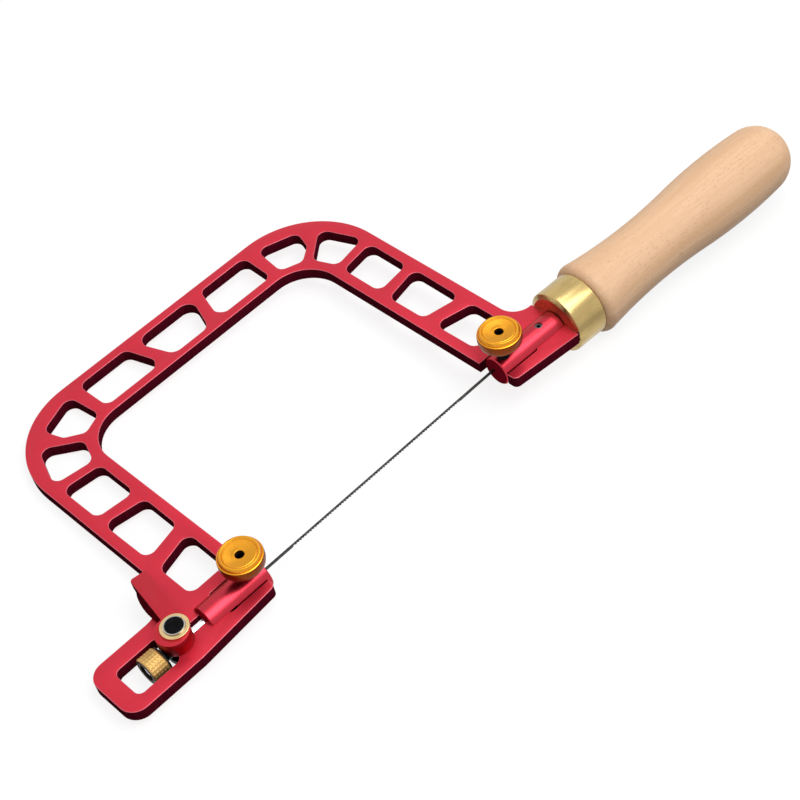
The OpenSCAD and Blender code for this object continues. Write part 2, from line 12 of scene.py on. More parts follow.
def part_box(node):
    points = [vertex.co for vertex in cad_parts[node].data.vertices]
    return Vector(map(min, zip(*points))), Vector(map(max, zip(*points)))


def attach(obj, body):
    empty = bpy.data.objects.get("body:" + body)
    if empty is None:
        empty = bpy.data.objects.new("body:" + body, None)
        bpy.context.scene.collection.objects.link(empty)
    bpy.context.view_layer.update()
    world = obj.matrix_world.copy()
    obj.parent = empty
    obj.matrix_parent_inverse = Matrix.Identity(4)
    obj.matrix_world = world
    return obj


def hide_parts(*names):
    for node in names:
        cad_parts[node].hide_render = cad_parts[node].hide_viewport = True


bl_info = {
    "name": "Fret Saw",
    "version": (1, 0, 0),
    "blender": (4, 5, 0),
    "location": "View3D > Sidebar > Fret Saw",
    "description": "Builds the visible pieces, finishes and stage of a fret saw over its packed model",
    "category": "Object",
}

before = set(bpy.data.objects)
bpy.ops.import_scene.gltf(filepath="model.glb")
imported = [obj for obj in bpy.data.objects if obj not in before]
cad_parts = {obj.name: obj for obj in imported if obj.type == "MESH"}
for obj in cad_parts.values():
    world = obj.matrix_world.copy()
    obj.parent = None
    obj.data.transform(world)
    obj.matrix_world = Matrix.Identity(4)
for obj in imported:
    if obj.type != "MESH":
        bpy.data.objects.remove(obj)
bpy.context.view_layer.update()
MM = 0.001
SCREWS = {"front": "front_clamp_screw", "rear": "rear_clamp_screw"}

# Steps round a small turned piece and round the handle, and steps of a rounded edge.
TURNS = 96
GRIP_TURNS = 128
EDGE_STEPS = 3

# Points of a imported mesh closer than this, in metres, are one point.
WELD = 3e-6
# A radius in millimetres below this lies on the axis.
ON_AXIS = 1e-6
# A face whose normal rises more than this is level.
LEVEL = 0.99

# Stretch of the fine lines in dark steel: up and down, round a lying piece, and along the blade.
UPRIGHT_LINES = (300, 300, 2600)
CROSS_LINES = (1500, 1500, 300)
BLADE_LINES = (60, 2600, 2600)

# Outside of a thumb knob: share of its radius, share of its height, and rounding in millimetres.
KNOB_SHARES = (
    (0.90, 0.0, 0.12), (0.965, 0.06, 0.2), (1.0, 0.32, 1.2), (1.0, 0.62, 1.2), (0.98, 0.74, 0.14),
    (0.935, 0.775, 0.1), (0.915, 0.735, 0.08), (0.90, 0.86, 0.3), (0.86, 1.0, 0.35), (0.77, 1.0, 0.3),
    (0.745, 0.955, 0.08), (0.725, 0.922, 0.08), (0.70, 0.945, 0.1),
)
# Dish of a thumb knob: share of its radius, depth below the rim, and rounding, the last two in millimetres.
KNOB_DISH = ((0.55, 0.26, 1.5), (0.38, 0.48, 1.0))
# Heights of the rim and of the change to the darker gold painted as shade, as shares of the knob's height.
KNOB_RIM_SHARE = 0.95
KNOB_SHADE_SHARE = 0.69
# The clamp screws' socket across its corners, in millimetres.
SOCKET_SIZE = 2.8


def length(name, description, default):
    """A distance that the user can change, given in millimetres."""
    return FloatProperty(
        name=name, description=description, default=default * MM, min=0.0,
        unit="LENGTH", subtype="DISTANCE", precision=5,
    )


def colour(name, description, default):
    """A linear colour that the user can change."""
    return FloatVectorProperty(
        name=name, description=description, default=default, size=3, min=0.0, max=1.0, subtype="COLOR",
    )


class SawSizes(PropertyGroup):
    """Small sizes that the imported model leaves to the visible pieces."""

    edge_round: length("Edge rounding", "Radius on the milled edges of the plate and the lever", 0.22)
    thread_pitch: length("Thread pitch", "Pitch of the clamp screws", 0.8)
    thread_depth: length("Thread depth", "Depth of the clamp screws' thread", 0.32)
    knurl_rows: IntProperty(name="Knurl rows", description="Rows of squares along the nut", default=5, min=1)
    knurl_columns: IntProperty(name="Knurl columns", description="Squares around the nut", default=26, min=6)
    knurl_depth: length("Knurl depth", "Depth of the grooves between the squares", 0.14)
    tooth_pitch: length("Tooth pitch", "Distance from one tooth to the next", 1.2)
    tooth_depth: length("Tooth depth", "Height of a tooth", 0.35)
    tooth_set: length("Tooth set", "How far each tooth leans to its side", 0.1)
    toothed_run: length("Toothed run", "Length of blade that carries teeth", 84)
    grip_tilt: FloatProperty(
        name="Grip tilt", description="Angle between the blade and the handle",
        default=math.radians(-2.3), subtype="ANGLE", unit="ROTATION",
    )
    grip_root: FloatVectorProperty(
        name="Grip root", description="Where the handle's axis starts, at the blade end of the rear bar",
        default=(60.2 * MM, -1.4 * MM, 0.0), subtype="XYZ", unit="LENGTH",
    )
    waist: length("Waist radius", "Handle radius at its waist", 12.85)
    bulb: length("Bulb radius", "Handle radius at its thickest", 14.89)
    cap: length("Cap radius", "Radius of the handle's round end", 14.095)
    shoulder: length("Shoulder radius", "Rounding of the handle beside the ferrule", 3.4)


class SawColours(PropertyGroup):
    """Linear colours of the finishes."""

    plate_face: colour("Plate face", "Satin red of the plate's two faces", (0.64, 0.026, 0.050))
    # Painted shade: the walls are the faces' anodised red in truth, painted dark maroon for the shade and dark
    # reflection on the sides.
    plate_edge_shade: colour("Plate edge", "Deep red of the milled edges", (0.10, 0.005, 0.015))
    # Partly painted highlight: the paler red on the rounded edges stands for rubbed wear and for the light that
    # the edges catch.
    plate_corner_highlight: colour("Plate corner", "Paler red where the edges are rubbed", (0.70, 0.13, 0.17))
    bar: colour("Bars", "Red of the two clamp bars", (0.50, 0.011, 0.032))
    bar_rim: colour("Bar rims", "Red of the bars where they curve out of sight", (0.75, 0.05, 0.10))
    # Painted shade: the faced ends are the bars' red in truth, painted deeper for the shade and dark reflection
    # on them.
    bar_end_shade: colour("Bar ends", "Deeper red of the bars' faced ends", (0.34, 0.008, 0.024))
    lever: colour("Lever", "Red of the cam lever", (0.53, 0.020, 0.036))
    # Painted shade: the lever's walls are its face's red in truth, painted deeper for the shade on its sides.
    lever_wall_shade: colour("Lever walls", "Deeper red of the lever's sides", (0.13, 0.005, 0.012))
    # Painted shade: the hub's turned side is the lever's red in truth, painted darker for the shade on it.
    lever_hub_shade: colour("Lever hub", "Red of the turned hub below the bush", (0.27, 0.007, 0.015))
    knob: colour("Knobs", "Gold of the thumb knobs", (0.71, 0.305, 0.024))
    # Painted shade and reflection: the drum's side is the knobs' gold in truth, painted dark brown for the
    # shade and the red plate reflected in it.
    knob_side_shade: colour("Knob sides", "Deeper gold below the knobs' rims", (0.20, 0.042, 0.006))
    nut: colour("Nut", "Brass of the knurled nut", (0.54, 0.34, 0.115))
    bush: colour("Bush", "Pale brass of the lever's bush", (0.72, 0.52, 0.26))
    # Painted shade: the hollow and the bore are brass in truth, painted near black without gloss for the shade
    # inside them.
    nut_hollow_shade: colour("Nut hollow", "Dark hollow in the nut's outer end", (0.020, 0.011, 0.005))
    ferrule: colour("Ferrule", "Brass of the ferrule", (0.53, 0.385, 0.155))
    wood: colour("Wood", "Light wood of the handle", (0.94, 0.63, 0.395))
    wood_shade: colour("Wood shade", "Darker bands of the wood", (0.80, 0.49, 0.285))
    wood_fleck: colour("Wood flecks", "Short dark rays in the wood", (0.36, 0.18, 0.09))
    blade: colour("Blade", "Dark steel of the blade", (0.045, 0.043, 0.042))
    black: colour("Black steel", "Blackened steel of the post and screws", (0.006, 0.006, 0.007))
    bright: colour("Bright steel", "Bright steel of the rod's end and of the pads", (0.78, 0.78, 0.79))
    # Painted shade: the thread is steel in truth, painted near black for the shade round the nut.
    rod: colour("Rod thread", "Dark steel of the draw rod's thread", (0.05, 0.049, 0.048))
    shank: colour("Rod shank", "Polished steel of the draw rod's plain shank", (0.95, 0.95, 0.95))
    grey: colour("Grey steel", "Plain steel of the ring and the set screw", (0.26, 0.255, 0.25))


class SawStage(PropertyGroup):
    """Camera, light and floor."""

    camera_place: FloatVectorProperty(
        name="Camera place", description="Where the camera stands",
        default=(-0.22565, -0.34727, 0.47884), subtype="XYZ", unit="LENGTH",
    )
    camera_turn: FloatVectorProperty(
        name="Camera turn", description="How the camera is turned",
        default=(math.radians(42.077), math.radians(9.184), math.radians(-44.897)), subtype="EULER",
    )
    lens: FloatProperty(name="Lens", description="Focal length in millimetres on a 36 mm frame", default=80.55)
    key_level: FloatProperty(name="Overhead light", description="Power of the soft box overhead", default=8.8)
    strip_level: FloatProperty(
        name="Strip light", description="Power of the small box beyond the handle", default=0.7,
    )
    sky_level: FloatProperty(
        name="Room light", description="Level of the even light from all round", default=0.34,
    )
    floor_height: length("Floor drop", "How far the floor lies below the blade's middle", 10.12)
    floor_slope: FloatVectorProperty(
        name="Floor slope", description="Rise of the floor along the blade and across it",
        default=(-0.0425, 0.0393), size=2,
    )


def settings():
    """The three groups of settings."""
    scene = bpy.context.scene
    return scene.saw_sizes, scene.saw_colours, scene.saw_stage


def add(tree, kind, sockets=None, **options):
    """Add a node, set its options, and feed its sockets with values or links."""
    node = tree.nodes.new(kind)
    for key, value in options.items():
        setattr(node, key, value)
    for key, value in (sockets or {}).items():
        if isinstance(value, bpy.types.NodeSocket):
            tree.links.new(value, node.inputs[key])
        else:
            node.inputs[key].default_value = value
    return node


def scaled(rgb, factor):
    """A colour made lighter or darker, with its alpha."""
    return tuple(min(1.0, c * factor) for c in rgb) + (1.0,)


def finish(name, rgb, metallic, **sockets):
    """Start a material, and return it with its tree and its shader."""
    material = bpy.data.materials.new(name)
    material.use_nodes = True
    material.diffuse_color = (*rgb, 1.0)
    tree = material.node_tree
    shader = tree.nodes["Principled BSDF"]
    shader.inputs["Base Color"].default_value = (*rgb, 1.0)
    shader.inputs["Metallic"].default_value = metallic
    for key, value in sockets.items():
        shader.inputs[key.replace("_", " ")].default_value = value
    return material, tree, shader


def own_place(tree, at=None):
    """Object coordinates, or coordinates along the piece's own axis where its mesh is turned already."""
    here = add(tree, "ShaderNodeTexCoord").outputs["Object"]
    if at is None:
        return here
    spot, turn = at.to_translation(), at.to_euler()
    return add(tree, "ShaderNodeMapping", {
        "Vector": here, "Location": spot, "Rotation": turn,
    }, vector_type="TEXTURE").outputs[0]


def place(tree, scale=(1, 1, 1), at=None):
    """The piece's coordinates, stretched."""
    return add(tree, "ShaderNodeMapping", {"Vector": own_place(tree, at), "Scale": scale}).outputs[0]


def lathe_place(tree, at=None):
    """Distance from the lathe axis and height along it, as the first two coordinates."""
    split = add(tree, "ShaderNodeSeparateXYZ", {0: own_place(tree, at)})
    flat = add(tree, "ShaderNodeCombineXYZ", {0: split.outputs[0], 1: split.outputs[1]})
    reach = add(tree, "ShaderNodeVectorMath", {0: flat.outputs[0]}, operation="LENGTH")
    return add(tree, "ShaderNodeCombineXYZ", {0: reach.outputs["Value"], 1: split.outputs[2]}).outputs[0]


def noise(tree, vector, scale, detail=2.0, rough=0.5):
    """The level of a cloud texture."""
    return add(tree, "ShaderNodeTexNoise", {
        "Vector": vector, "Scale": scale, "Detail": detail, "Roughness": rough,
    }).outputs[0]


def spread(tree, level, low, high, start=0.3, end=0.7):
    """Stretch a level to run from low to high."""
    return add(tree, "ShaderNodeMapRange", {
        "Value": level, "From Min": start, "From Max": end, "To Min": low, "To Max": high,
    }).outputs[0]


def blended(tree, level, first, second):
    """A colour between two, each a value or a link."""
    node = add(tree, "ShaderNodeMix", data_type="RGBA")
    for key, value in ((0, level), (6, first), (7, second)):
        if isinstance(value, bpy.types.NodeSocket):
            tree.links.new(value, node.inputs[key])
        else:
            node.inputs[key].default_value = value
    return node.outputs[2]


def relief(tree, shader, height, deep, strength=1.0, under=None):
    """Raise the surface by a level, deep millimetres from low to high."""
    sockets = {"Height": height, "Distance": deep * MM, "Strength": strength}
    if under is not None:
        sockets["Normal"] = under
    bump = add(tree, "ShaderNodeBump", sockets).outputs[0]
    tree.links.new(bump, shader.inputs["Normal"])
    return bump


def satin_red(name, rgb):
    """Bead-blasted and anodised face: even, with a fine grain and faint clouds."""
    material, tree, shader = finish(name, rgb, metallic=0.45, Specular_IOR_Level=0.3)
    clouds = noise(tree, place(tree), scale=38.0, detail=4.0)
    grain = noise(tree, place(tree), scale=3200.0, detail=3.0)
    tone = blended(tree, spread(tree, clouds, 0, 1), scaled(rgb, 0.94), scaled(rgb, 1.05))
    tree.links.new(tone, shader.inputs["Base Color"])
    tree.links.new(spread(tree, grain, 0.34, 0.46), shader.inputs["Roughness"])
    relief(tree, shader, grain, deep=0.006, strength=0.5)
    return material


def milled_red(name, rgb):
    """Milled wall painted dark as shade, with cutter lines round it."""
    material, tree, shader = finish(name, rgb, metallic=0.0, Specular_IOR_Level=0.0)
    lines = noise(tree, place(tree, (25, 25, 4200)), scale=1.0, detail=3.0)
    chatter = noise(tree, place(tree, (700, 700, 60)), scale=1.0, detail=2.0)
    tone = blended(tree, spread(tree, chatter, 0, 1), scaled(rgb, 0.86), scaled(rgb, 1.2))
    tree.links.new(tone, shader.inputs["Base Color"])
    tree.links.new(spread(tree, lines, 0.34, 0.52), shader.inputs["Roughness"])
    under = relief(tree, shader, chatter, deep=0.01, strength=0.4)
    relief(tree, shader, lines, deep=0.006, strength=0.5, under=under)
    return material


def turned_red(name, rgb, rim_rgb, end_shade_rgb, at, axis):
    """Turned and anodised bar: fine rings along its length, and faced ends painted deeper red, without gloss,
    as shade.
    """
    material, tree, shader = finish(
        name, rgb, metallic=0.9, Specular_Tint=(*rim_rgb, 1), Specular_IOR_Level=0.0, Coat_Roughness=0.3,
    )
    rings = noise(tree, lathe_place(tree, at), scale=3800.0, detail=2.0)
    clouds = noise(tree, place(tree), scale=60.0, detail=3.0)
    tone = blended(tree, spread(tree, clouds, 0, 1), scaled(rgb, 0.92), scaled(rgb, 1.06))
    facing = add(tree, "ShaderNodeVectorMath", {
        0: add(tree, "ShaderNodeTexCoord").outputs["Normal"], 1: axis,
    }, operation="DOT_PRODUCT").outputs["Value"]
    faced = add(tree, "ShaderNodeMath", {0: facing}, operation="ABSOLUTE").outputs[0]
    # Painted shade: faces across the axis take the deeper end colour, and lose their metal and coat.
    tone = blended(tree, spread(tree, faced, 0, 1, start=0.75, end=0.95), tone, (*end_shade_rgb, 1))
    tree.links.new(tone, shader.inputs["Base Color"])
    tree.links.new(spread(tree, faced, 0.9, 0.0, start=0.75, end=0.95), shader.inputs["Metallic"])
    tree.links.new(spread(tree, faced, 0.6, 0.0, start=0.75, end=0.95), shader.inputs["Coat Weight"])
    tree.links.new(spread(tree, rings, 0.26, 0.36), shader.inputs["Roughness"])
    relief(tree, shader, rings, deep=0.004, strength=0.5)
    return material


def turned_metal(name, rgb, rough, line_deep=0.004, worn=0.12, grooved=0.0):
    """Metal from the lathe: fine lines round the axis, faint stains and changing gloss."""
    material, tree, shader = finish(name, rgb, metallic=1.0, Anisotropic=grooved)
    if grooved:
        along = add(tree, "ShaderNodeTangent", direction_type="RADIAL", axis="Z").outputs[0]
        tree.links.new(along, shader.inputs["Tangent"])
    lines = noise(tree, lathe_place(tree), scale=4200.0, detail=2.0)
    stains = noise(tree, place(tree), scale=140.0, detail=5.0, rough=0.6)
    tone = blended(tree, spread(tree, stains, 0, 1), scaled(rgb, 1.0 - worn), scaled(rgb, 1.0 + worn))
    tree.links.new(tone, shader.inputs["Base Color"])
    tree.links.new(spread(tree, lines, rough - 0.04, rough + 0.05), shader.inputs["Roughness"])
    relief(tree, shader, lines, deep=line_deep, strength=0.5)
    return material


def brushed_brass(name, rgb, at):
    """Drawn brass tube: brushed round, with stains and light scratches along it, and dark streaks along it
    painted as reflection bands.
    """
    material, tree, shader = finish(name, rgb, metallic=0.95)
    brushed = noise(tree, lathe_place(tree, at), scale=3000.0, detail=3.0)
    stains = noise(tree, place(tree, (1, 1, 0.5), at), scale=190.0, detail=6.0, rough=0.62)
    scratch = noise(tree, place(tree, (900, 900, 70), at), scale=1.0, detail=2.0)
    reflection_streaks = noise(tree, place(tree, (150, 150, 9), at), scale=1.0, detail=3.0, rough=0.6)
    tone = blended(tree, spread(tree, stains, 0, 1, start=0.4, end=0.8), scaled(rgb, 1.1), scaled(rgb, 0.74))
    # Painted reflection: dark streaks along the tube stand for the bands that a polished tube reflects.
    tone = blended(tree, spread(tree, reflection_streaks, 0.6, 0, start=0.34, end=0.52), tone, scaled(rgb, 0.42))
    tree.links.new(tone, shader.inputs["Base Color"])
    tree.links.new(spread(tree, stains, 0.16, 0.34), shader.inputs["Roughness"])
    under = relief(tree, shader, brushed, deep=0.004, strength=0.4)
    relief(tree, shader, scratch, deep=0.006, strength=0.25, under=under)
    return material


def beech(name, light, shade, fleck, at):
    """Steamed beech under thin varnish: soft bands along the grain and short dark rays."""
    material, tree, shader = finish(name, light, metallic=0.0, Specular_IOR_Level=0.3)
    bands = noise(tree, place(tree, (260, 130, 8), at), scale=1.0, detail=5.0, rough=0.6)
    fibre = noise(tree, place(tree, (1000, 1000, 28), at), scale=1.0, detail=4.0, rough=0.6)
    cells = add(tree, "ShaderNodeTexVoronoi", {
        "Vector": place(tree, (2100, 2100, 380), at), "Scale": 1.0, "Randomness": 1.0,
    }, feature="F1")
    chosen = add(tree, "ShaderNodeSeparateColor", {0: cells.outputs["Color"]}).outputs[0]
    ray = spread(tree, cells.outputs["Distance"], 1, 0, start=0.12, end=0.42)
    kept = spread(tree, chosen, 0, 1, start=0.35, end=0.85)
    clumps = noise(tree, place(tree, (90, 90, 25), at), scale=1.0, detail=2.0)
    patches = spread(tree, clumps, 0.25, 1.0, start=0.38, end=0.62)
    some = add(tree, "ShaderNodeMath", {0: kept, 1: patches}, operation="MULTIPLY").outputs[0]
    rays = add(tree, "ShaderNodeMath", {0: ray, 1: some}, operation="MULTIPLY").outputs[0]
    weight = add(tree, "ShaderNodeMath", {0: rays, 1: 0.5}, operation="MULTIPLY").outputs[0]
    ground = blended(tree, spread(tree, bands, 0, 1), (*light, 1), (*shade, 1))
    fine = blended(tree, spread(tree, fibre, 0, 0.6, start=0.35, end=0.65), ground, (*shade, 1))
    tree.links.new(blended(tree, weight, fine, (*fleck, 1)), shader.inputs["Base Color"])
    tree.links.new(spread(tree, fibre, 0.42, 0.58), shader.inputs["Roughness"])
    under = relief(tree, shader, fibre, deep=0.02, strength=0.35)
    pores = add(tree, "ShaderNodeMath", {0: 1.0, 1: rays}, operation="SUBTRACT").outputs[0]
    relief(tree, shader, pores, deep=0.04, strength=0.4, under=under)
    return material


def dark_steel(name, rgb, rough, stretch, metal=1.0):
    """Hardened or blackened steel: drawn lines and a patchy oxide."""
    material, tree, shader = finish(name, rgb, metallic=metal, Specular_IOR_Level=0.2)
    drawn = noise(tree, place(tree, stretch), scale=1.0, detail=3.0)
    patches = noise(tree, place(tree), scale=420.0, detail=4.0)
    tone = blended(tree, spread(tree, patches, 0, 1), scaled(rgb, 0.7), scaled(rgb, 1.5))
    tree.links.new(tone, shader.inputs["Base Color"])
    tree.links.new(spread(tree, drawn, rough - 0.08, rough + 0.1), shader.inputs["Roughness"])
    relief(tree, shader, drawn, deep=0.004, strength=0.5)
    return material


def rounded(points, steps=5):
    """A profile whose corners (x, y, radius) become short curves."""
    out = []
    for i, (x, y, radius) in enumerate(points):
        corner = Vector((x, y))
        if radius <= 0.0:
            out.append(corner)
            continue
        back = Vector(points[i - 1][:2]) - corner
        ahead = Vector(points[(i + 1) % len(points)][:2]) - corner
        room = 0.48 * min(back.length, ahead.length)
        run = min(radius / math.tan(back.angle(ahead) / 2.0), room)
        start = corner + back.normalized() * run
        end = corner + ahead.normalized() * run
        for k in range(steps + 1):
            t = k / steps
            out.append(start * (1 - t) ** 2 + corner * 2 * t * (1 - t) + end * t * t)
    return out


def turn_on_lathe(profile, closed=True, turns=TURNS):
    """Turn a profile of (radius, height) in millimetres, and return the smooth mesh and its strips of faces.

    A radius may be a list, one for each step round.
    """
    bm = bmesh.new()
    rings = []
    for radius, height in profile:
        if isinstance(radius, float) and radius < ON_AXIS:
            rings.append([bm.verts.new((0.0, 0.0, height * MM))])
            continue
        ring = []
        for i in range(turns):
            reach = (radius[i] if isinstance(radius, list) else radius) * MM
            angle = 2.0 * math.pi * i / turns
            ring.append(bm.verts.new((reach * math.cos(angle), reach * math.sin(angle), height * MM)))
        rings.append(ring)
    pairs = list(zip(rings, rings[1:]))
    if closed:
        pairs.append((rings[-1], rings[0]))
    strips = []
    for low, high in pairs:
        strip = []
        for i in range(turns):
            j = (i + 1) % turns
            if len(low) == 1 and len(high) == 1:
                break
            if len(low) == 1:
                strip.append(bm.faces.new((low[0], high[j], high[i])))
            elif len(high) == 1:
                strip.append(bm.faces.new((low[i], low[j], high[0])))
            else:
                strip.append(bm.faces.new((low[i], low[j], high[j], high[i])))
        for face in strip:
            face.smooth = True
        strips.append(strip)
    return bm, strips


def paint(strips, index):
    """Give the faces of some strips another of the piece's finishes."""
    for strip in strips:
        for face in strip:
            face.material_index = index


def screw_rows(radius, start, end, pitch, depth, turns=TURNS):
    """Profile rows of a thread, with the groove winding round as the height grows."""
    rows_each, fade_rows = 8, 4.0
    count = max(2, round((end - start) / pitch * rows_each))
    rows = []
    for k in range(count + 1):
        height = start + (end - start) * k / count
        fade = min(1.0, k / fade_rows, (count - k) / fade_rows)
        ring = []
        for i in range(turns):
            phase = (height / pitch - i / turns) % 1.0
            ring.append(radius - depth * fade * abs(2.0 * phase - 1.0))
        rows.append((ring, height))
    return rows


def six_sided(across, turns=TURNS):
    """Radii of a hexagon, given across its corners."""
    side = math.pi / 3
    flat = across / 2.0 * math.cos(side / 2)
    return [flat / math.cos((2.0 * math.pi * i / turns) % side - side / 2) for i in range(turns)]


def settle(name, bm, finishes, body, stands_for=(), at=None, sharp=35.0, baked=False):
    """Turn the mesh into a piece that rides on its body; a baked place goes into the mesh."""
    if not bm.faces:
        raise RuntimeError(f"{name} has no faces")
    bmesh.ops.recalc_face_normals(bm, faces=bm.faces)
    if baked:
        bm.transform(at)
    mesh = bpy.data.meshes.new(name)
    bm.to_mesh(mesh)
    bm.free()
    for material in finishes:
        mesh.materials.append(material)
    mesh.set_sharp_from_angle(angle=math.radians(sharp))
    piece = bpy.data.objects.new(name, mesh)
    bpy.context.scene.collection.objects.link(piece)
    if at is not None and not baked:
        piece.matrix_world = at
    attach(piece, body)
    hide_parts(*stands_for)
    return piece


def dress(node, material):
    """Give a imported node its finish."""
    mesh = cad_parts[node].data
    if not mesh.materials:
        mesh.materials.append(material)
    for i in range(len(mesh.materials)):
        mesh.materials[i] = material


def middle(node):
    """Centre of a node's box, and half its size."""
    low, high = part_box(node)
    return (low + high) / 2.0, (high - low) / 2.0


def on_axis(x, y=0.0):
    """Place of a lathe piece that stands along Z."""
    return Matrix.Translation((x, y, 0.0))


def along_blade(x):
    """Place of a lathe piece that lies along X, starting at x."""
    return Matrix.Translation((x, 0.0, 0.0)) @ Matrix.Rotation(math.pi / 2, 4, "Y")


def lying(node):
    """Radius and length, in millimetres, of a node that lies along the blade, and its place."""
    low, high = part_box(node)
    return (high.y - low.y) / 2 / MM, (high.x - low.x) / MM, along_blade(low.x)


def along_grip():
    """Place of a lathe piece that lies along the handle's axis."""
    sizes = settings()[0]
    turn = Matrix.Rotation(sizes.grip_tilt, 4, "Z") @ Matrix.Rotation(math.pi / 2, 4, "Y")
    return Matrix.Translation(sizes.grip_root) @ turn


def face_outlines(node):
    """Outlines of a plate's upper face, each with the metal on its left."""
    bm = bmesh.new()
    bm.from_mesh(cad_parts[node].data)
    bmesh.ops.remove_doubles(bm, verts=bm.verts, dist=WELD)
    bm.faces.ensure_lookup_table()
    top = max(v.co.z for v in bm.verts)
    near = 0.01 * MM
    upper = {f for f in bm.faces if f.normal.z > LEVEL and top - f.calc_center_median().z < near}
    follow = {}
    for face in upper:
        for loop in face.loops:
            if sum(f in upper for f in loop.edge.link_faces) == 1:
                follow[loop.vert] = loop.link_loop_next.vert
    outlines = []
    while follow:
        first, here = follow.popitem()
        outline = [first.co.copy()]
        while here is not first:
            outline.append(here.co.copy())
            here = follow.pop(here)
        outlines.append([p.xy for p in outline])
    bm.free()
    if not outlines:
        raise RuntimeError(f"{node} shows no flat upper face")
    return outlines, top


def stepped_in(outline, distance):
    """The outline moved toward the metal on its left."""
    out = []
    count, least_share, turned_back = len(outline), 0.4, 1e-6
    for i, here in enumerate(outline):
        before = (here - outline[i - 1]).normalized()
        after = (outline[(i + 1) % count] - here).normalized()
        left = Vector((-before.y - after.y, before.x + after.x))
        if left.length < turned_back:
            left = Vector((-after.y, after.x))
        left.normalize()
        share = max(least_share, left.dot(Vector((-after.y, after.x))))
        out.append(here + left * (distance / share))
    return out


class SAW_OT_plate(Operator):
    """Build the windowed plate with rounded edges and milled walls painted dark as shade"""

    bl_idname = "fret_saw.plate"
    bl_label = "Frame Plate"

    def execute(self, context):
        sizes, colours, _ = settings()
        outlines, top = face_outlines("frame")
        r = sizes.edge_round
        rows = []
        for k in range(EDGE_STEPS + 1):
            angle = math.pi / 2 * k / EDGE_STEPS
            rows.append((r * (1 - math.sin(angle)), top - r * (1 - math.cos(angle))))
        rows += [(inward, -height) for inward, height in reversed(rows)]
        bm = bmesh.new()
        caps = ([], [])
        for outline in outlines:
            rings = [[bm.verts.new((*p, z)) for p in stepped_in(outline, inward)] for inward, z in rows]
            for row, (high, low) in enumerate(zip(rings, rings[1:])):
                for i in range(len(high)):
                    j = (i + 1) % len(high)
                    face = bm.faces.new((high[i], low[i], low[j], high[j]))
                    face.smooth = True
                    # The walls take the dark finish painted as shade; the rounded edges take the paler one,
                    # partly painted highlight.
                    face.material_index = 1 if row == EDGE_STEPS else 2
            for edges, ring in zip(caps, (rings[0], rings[-1])):
                edges += [bm.edges.get((ring[i - 1], ring[i])) for i in range(len(ring))]
        for edges in caps:
            bmesh.ops.triangle_fill(bm, use_beauty=True, edges=edges)
        finishes = (
            satin_red("plate_face_red", colours.plate_face),
            milled_red("plate_wall_shade_red", colours.plate_edge_shade),
            # Paler rounded edges: rubbed wear and a painted highlight.
            satin_red("plate_corner_red", colours.plate_corner_highlight),
        )
        settle("frame_plate", bm, finishes, "saw", ("frame",))
        return {"FINISHED"}


class SAW_OT_lever(Operator):
    """Build the cam lever with rounded edges, and its bush, ring and post"""

    bl_idname = "fret_saw.lever"
    bl_label = "Cam Lever"

    def lever(self, sizes, colours):
        """Round the lever's edges, and tell its walls and its turned hub from its face, so that they take
        darker reds painted as shade.
        """
        nearly_flat, corner = math.radians(1), math.radians(40)
        steep, rim, slack = 0.8, 0.4 * MM, 0.3 * MM
        bm = bmesh.new()
        bm.from_mesh(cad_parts["tension_lever"].data)
        bmesh.ops.remove_doubles(bm, verts=bm.verts, dist=WELD)
        bmesh.ops.dissolve_limit(bm, angle_limit=nearly_flat, verts=bm.verts, edges=bm.edges)
        edges = [e for e in bm.edges if len(e.link_faces) == 2 and e.calc_face_angle(0) > corner]
        bmesh.ops.bevel(
            bm, geom=edges, offset=sizes.edge_round, segments=EDGE_STEPS, profile=0.5, affect="EDGES",
            clamp_overlap=True,
        )
        top = max(v.co.z for v in bm.verts)
        pivot = middle("pivot_post")[0]
        hub = max(v.co.x for v in bm.verts) - pivot.x
        for face in bm.faces:
            face.smooth = face.normal.z < LEVEL
            spot = face.calc_center_median()
            # Steep faces below the top take the darker reds painted as shade: the hub's near the pivot, the
            # walls' elsewhere.
            if abs(face.normal.z) < steep and top - spot.z > rim:
                face.material_index = 2 if (spot - pivot).xy.length < hub + slack else 1
        finishes = (
            satin_red("lever_red", colours.lever),
            milled_red("lever_wall_red", colours.lever_wall_shade),
            turned_metal("lever_hub_red", colours.lever_hub_shade, rough=0.34),
        )
        settle("cam_lever", bm, finishes, "cam", ("tension_lever",))

    def bush(self, colours):
        """Turn the flanged bush round the ring."""
        lip, wall, lead, recess = 1.0, 0.72, 0.1, 0.06
        centre, half = middle("lever_bush")
        low, high = (v.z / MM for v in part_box("lever_bush"))
        ring = middle("retaining_ring")[1].x / MM
        flange = half.x / MM
        neck = flange - lip
        bore = neck - wall
        bm, _ = turn_on_lathe(rounded([
            (bore, low, 0), (neck, low, 0), (neck, high - lip, 0), (flange, high - lip, 0.1),
            (flange, high, 0.22), (ring + lead, high, 0.08), (ring, high - recess, 0), (bore, high - recess, 0),
        ]))
        brass = turned_metal("bush_brass", colours.bush, rough=0.24)
        at = on_axis(centre.x, centre.y)
        settle("lever_bush_turned", bm, (brass,), "cam", ("lever_bush",), at=at)

    def execute(self, context):
        sizes, colours, _ = settings()
        self.lever(sizes, colours)
        self.bush(colours)
        dress("retaining_ring", turned_metal("ring_steel", scaled(colours.grey, 1.9)[:3], rough=0.2))
        dress("pivot_post", dark_steel("post_black", colours.black, rough=0.42, stretch=UPRIGHT_LINES))
        return {"FINISHED"}


